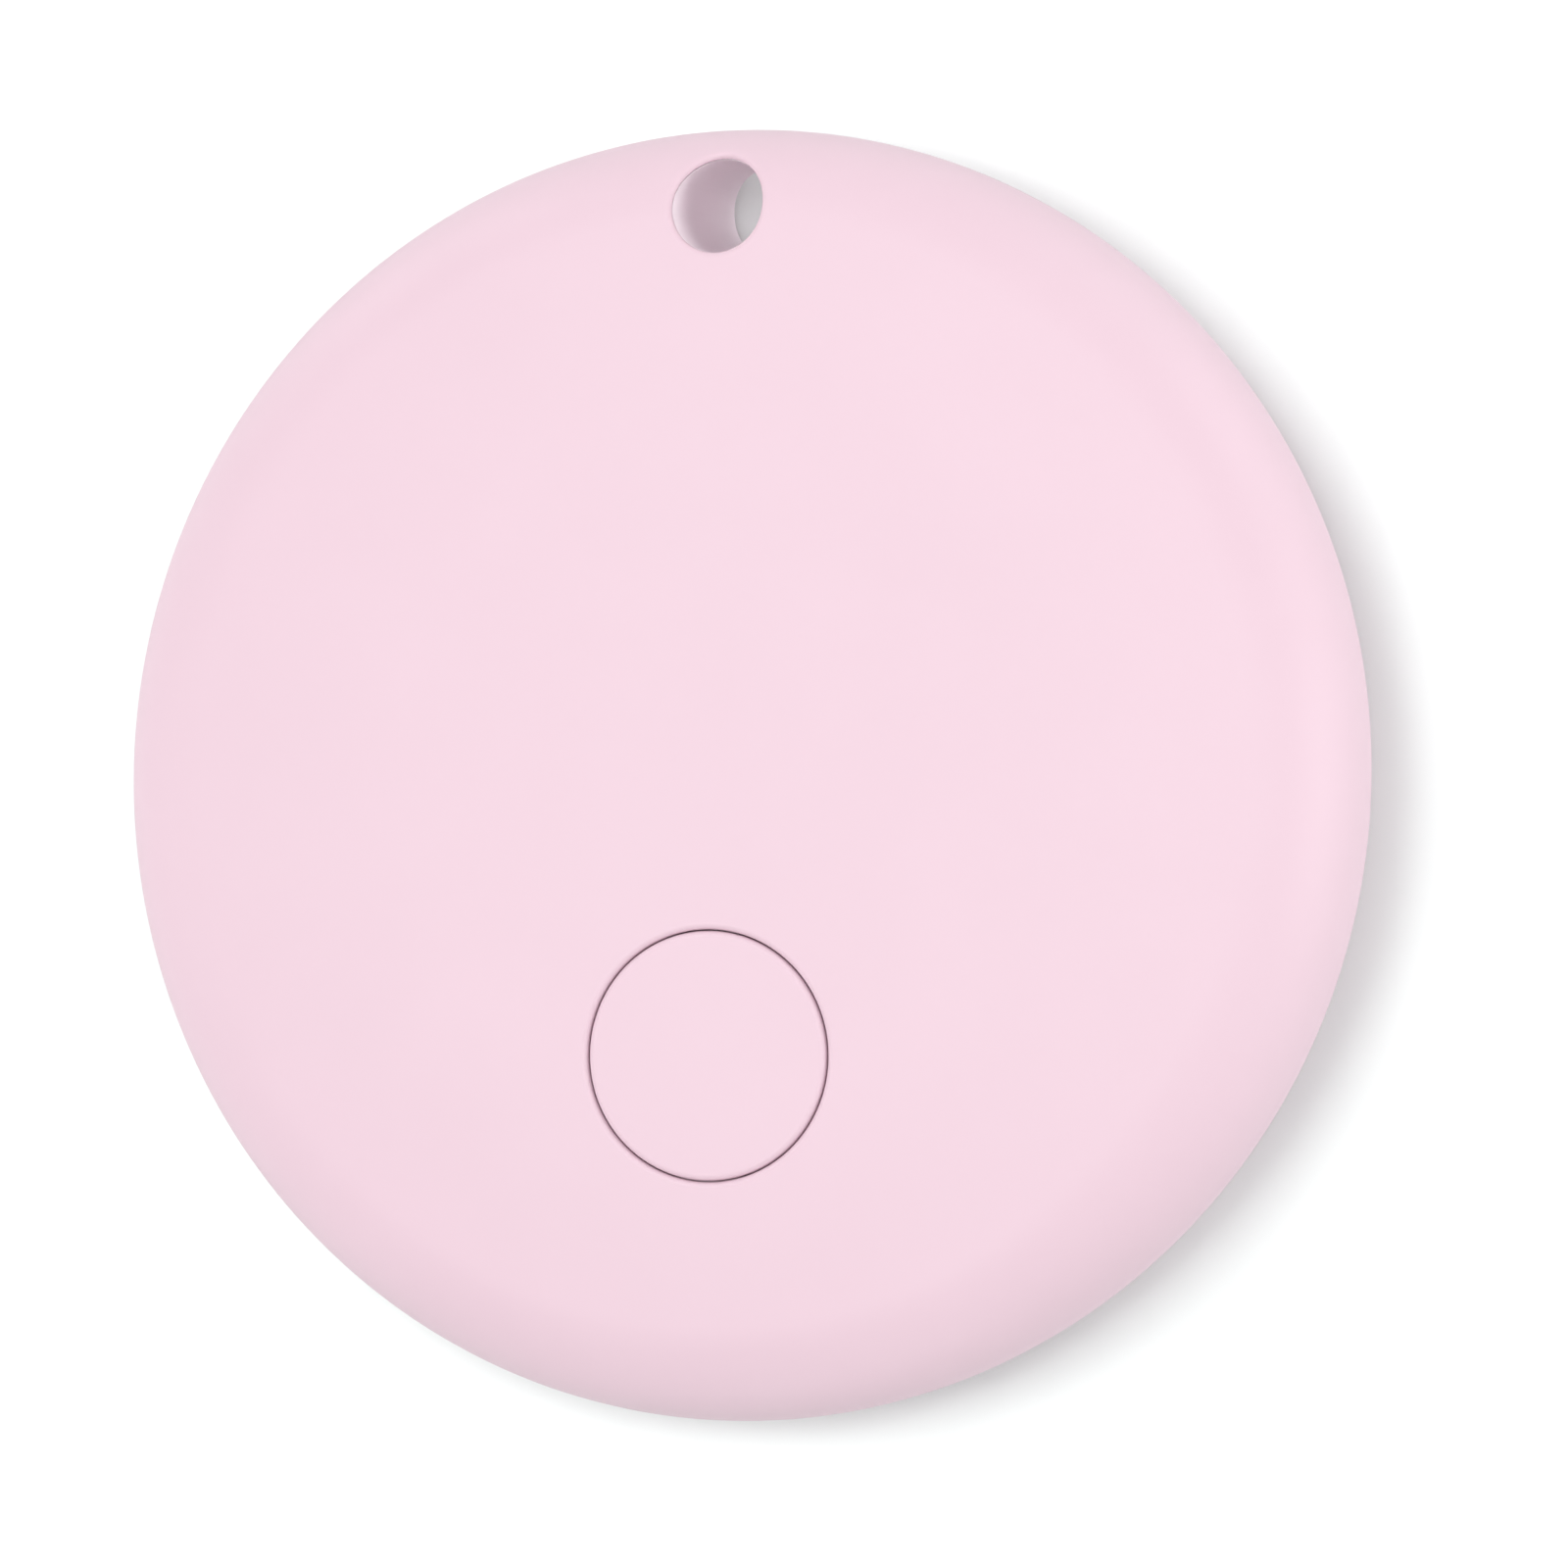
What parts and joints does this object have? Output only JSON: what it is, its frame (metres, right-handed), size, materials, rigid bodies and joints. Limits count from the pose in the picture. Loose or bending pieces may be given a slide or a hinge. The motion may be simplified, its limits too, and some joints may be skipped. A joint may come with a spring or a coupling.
{
  "type": "bluetooth tracker tag",
  "caption": "Round pocket tracker tag with a domed front, a flush push button, a strap hole near the rim and a coin-turned battery door in the flat back.",
  "frame": {"origin": "centre of the flat back face, on the surface the tag lies on", "axes": "+Z out of the domed front face, +Y towards the strap hole, +X to the right as seen from the front"},
  "size_m": [0.038, 0.038, 0.0072],
  "materials": {
    "case_plastic": "pale pink soft-touch plastic, fine satin texture",
    "silicone": "matte moulded rubber",
    "cell_steel": "nickel-plated steel, finely brushed",
    "frame_plastic": "off-white moulded plastic",
    "screw_steel": "zinc-plated steel",
    "contact_brass": "gold-flashed spring brass",
    "board": "green solder mask over glass-epoxy laminate",
    "component_black": "black moulding compound",
    "component_ceramic": "off-white fired ceramic",
    "component_metal": "thin plated sheet steel",
    "component_tan": "tan multilayer ceramic with tinned ends",
    "adhesive": "white double-sided foam tape",
    "sounder_brass": "thin rolled brass disc"
  },
  "bodies": {
    "case": {"front_cover": "case_plastic", "rear_cover": "case_plastic", "strap_hole_sleeve": "case_plastic", "coin_cell": "cell_steel", "battery_frame": "frame_plastic", "frame_screw_1": "screw_steel", "frame_screw_2": "screw_steel", "frame_screw_3": "screw_steel", "negative_contact": "contact_brass", "positive_contact": "contact_brass", "circuit_board": "board", "bluetooth_chip": "component_black", "chip_antenna": "component_ceramic", "main_crystal": "component_metal", "clock_crystal": "component_metal", "boost_inductor": "component_black", "matching_inductor": "component_ceramic", "capacitor_1": "component_tan", "capacitor_2": "component_tan", "capacitor_3": "component_tan", "resistor_1": "component_black", "resistor_2": "component_black", "sounder_adhesive_ring": "adhesive", "sounder_plate": "sounder_brass", "sounder_ceramic": "component_ceramic", "sounder_spring_inner": "contact_brass", "sounder_spring_outer": "contact_brass", "switch_body": "component_black", "switch_dome": "component_metal", "switch_plate": "component_metal"},
    "button": {"button_cap": "case_plastic"},
    "plunger": {"switch_plunger": "frame_plastic"},
    "door": {"battery_door": "case_plastic", "door_seal_ring": "silicone"}
  },
  "joints": [
    {"name": "button_press", "type": "slide", "parent": "case", "child": "button", "axis": [0, 0, -1], "range_m": [0, 0.0002], "stiffness_N_per_m": 8000, "springref_m": -0.00004},
    {"name": "switch_plunger_press", "type": "slide", "parent": "case", "child": "plunger", "axis": [0, 0, -1], "range_m": [0, 0.0002], "deforming": ["switch_dome"]},
    {"name": "battery_door_turn", "type": "hinge", "parent": "case", "child": "door", "pos_m": [0, -0.0008, 0], "axis": [0, 0, 1], "range_deg": [0, 40]}
  ],
  "couplings": [
    {"joint": "switch_plunger_press", "follows": "button_press", "ratio": 1}
  ]
}
